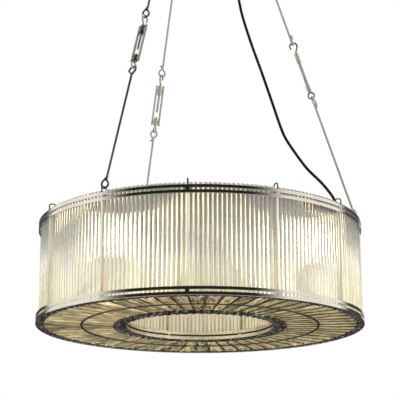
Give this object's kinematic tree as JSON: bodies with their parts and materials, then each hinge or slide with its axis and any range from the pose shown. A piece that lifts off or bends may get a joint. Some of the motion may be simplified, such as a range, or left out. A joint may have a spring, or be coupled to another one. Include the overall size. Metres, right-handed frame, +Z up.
{
  "type": "drum pendant light",
  "caption": "Ring-shaped drum pendant of clear glass rods between slotted nickel bands, hung from a ceiling hook by wire strands with turnbuckles.",
  "frame": {"origin": "middle of the ceiling plate's flat top face", "axes": "+Z up into the ceiling, -Y towards the side that the picture shows"},
  "size_m": [0.798, 0.798, 1.5063],
  "materials": {
    "polished_nickel": "polished nickel plate",
    "bright_steel": "bright zinc-plated steel wire",
    "clear_glass": "clear, fire-polished",
    "champagne_glass": "clear plate with a champagne tint",
    "black_plastic": "fine matt",
    "lamp_glass": "satin white globe, lit warm",
    "cable_black": "smooth sheath",
    "frame_paint": "satin nickel-coloured paint"
  },
  "bodies": {
    "ceiling": {"ceiling_plate": "bright_steel", "canopy_cup": "polished_nickel", "ceiling_hook": "bright_steel"},
    "ring": {"suspension_ring": "bright_steel"},
    "pendant": {"cable_gland": "black_plastic", "hanger_eye": "bright_steel", "hanger_plate": "polished_nickel", "inner_bottom_band": "polished_nickel", "inner_glass_plates": "champagne_glass", "inner_rods_01": "clear_glass", "inner_rods_02": "clear_glass", "inner_rods_03": "clear_glass", "inner_rods_04": "clear_glass", "inner_rods_05": "clear_glass", "inner_rods_06": "clear_glass", "inner_top_band": "polished_nickel", "junction_box": "black_plastic", "lamp_frame": "frame_paint", "lamp_wiring": "cable_black", "lampholder_1": "black_plastic", "lampholder_2": "black_plastic", "lampholder_3": "black_plastic", "lampholder_4": "black_plastic", "lower_rod_1": "bright_steel", "lower_rod_2": "bright_steel", "lower_rod_3": "bright_steel", "outer_bottom_band": "polished_nickel", "outer_glass_plates": "champagne_glass", "outer_rods_01": "clear_glass", "outer_rods_02": "clear_glass", "outer_rods_03": "clear_glass", "outer_rods_04": "clear_glass", "outer_rods_05": "clear_glass", "outer_rods_06": "clear_glass", "outer_rods_07": "clear_glass", "outer_rods_08": "clear_glass", "outer_rods_09": "clear_glass", "outer_rods_10": "clear_glass", "outer_rods_11": "clear_glass", "outer_rods_12": "clear_glass", "outer_top_band": "polished_nickel", "supply_cable": "cable_black", "turnbuckle_eye_1": "polished_nickel", "turnbuckle_eye_2": "polished_nickel", "turnbuckle_eye_3": "polished_nickel", "turnbuckle_hook_1": "polished_nickel", "turnbuckle_hook_2": "polished_nickel", "turnbuckle_hook_3": "polished_nickel", "underside_frame": "polished_nickel", "upper_rod_1": "bright_steel", "upper_rod_2": "bright_steel", "upper_rod_3": "bright_steel"},
    "turnbuckle_1": {"turnbuckle_frame_1": "polished_nickel"},
    "turnbuckle_2": {"turnbuckle_frame_2": "polished_nickel"},
    "turnbuckle_3": {"turnbuckle_frame_3": "polished_nickel"},
    "bulb_1": {"bulb_1": "lamp_glass"},
    "bulb_2": {"bulb_2": "lamp_glass"},
    "bulb_3": {"bulb_3": "lamp_glass"},
    "bulb_4": {"bulb_4": "lamp_glass"}
  },
  "joints": [
    {"name": "hook_swing", "type": "hinge", "parent": "ceiling", "child": "ring", "pos_m": [0, 0, -0.077], "axis": [0.5, 0.866, 0], "range_deg": [-10, 10]},
    {"name": "ring_swing", "type": "hinge", "parent": "ring", "child": "pendant", "pos_m": [0, 0, -0.0992], "axis": [-0.866, 0.5, 0], "range_deg": [-10, 10]},
    {"name": "turnbuckle_turn_1", "type": "hinge", "parent": "pendant", "child": "turnbuckle_1", "pos_m": [-0.14716, -0.21817, -0.85217], "axis": [0.1696, 0.2514, 0.9529], "continuous": true},
    {"name": "turnbuckle_turn_2", "type": "hinge", "parent": "pendant", "child": "turnbuckle_2", "pos_m": [0.26252, -0.01836, -0.85217], "axis": [-0.3025, 0.0212, 0.9529], "continuous": true},
    {"name": "turnbuckle_turn_3", "type": "hinge", "parent": "pendant", "child": "turnbuckle_3", "pos_m": [-0.11536, 0.23653, -0.85217], "axis": [0.1329, -0.2726, 0.9529], "continuous": true},
    {"name": "bulb_turn_1", "type": "hinge", "parent": "pendant", "child": "bulb_1", "pos_m": [-0.1336, -0.24607, -1.33629], "axis": [-0.8788, 0.4772, 0], "range_deg": [-1080, 0]},
    {"name": "bulb_turn_2", "type": "hinge", "parent": "pendant", "child": "bulb_2", "pos_m": [0.24607, -0.1336, -1.33629], "axis": [-0.4772, -0.8788, 0], "range_deg": [-1080, 0]},
    {"name": "bulb_turn_3", "type": "hinge", "parent": "pendant", "child": "bulb_3", "pos_m": [0.1336, 0.24607, -1.33629], "axis": [0.8788, -0.4772, 0], "range_deg": [-1080, 0]},
    {"name": "bulb_turn_4", "type": "hinge", "parent": "pendant", "child": "bulb_4", "pos_m": [-0.24607, 0.1336, -1.33629], "axis": [0.4772, 0.8788, 0], "range_deg": [-1080, 0]}
  ]
}
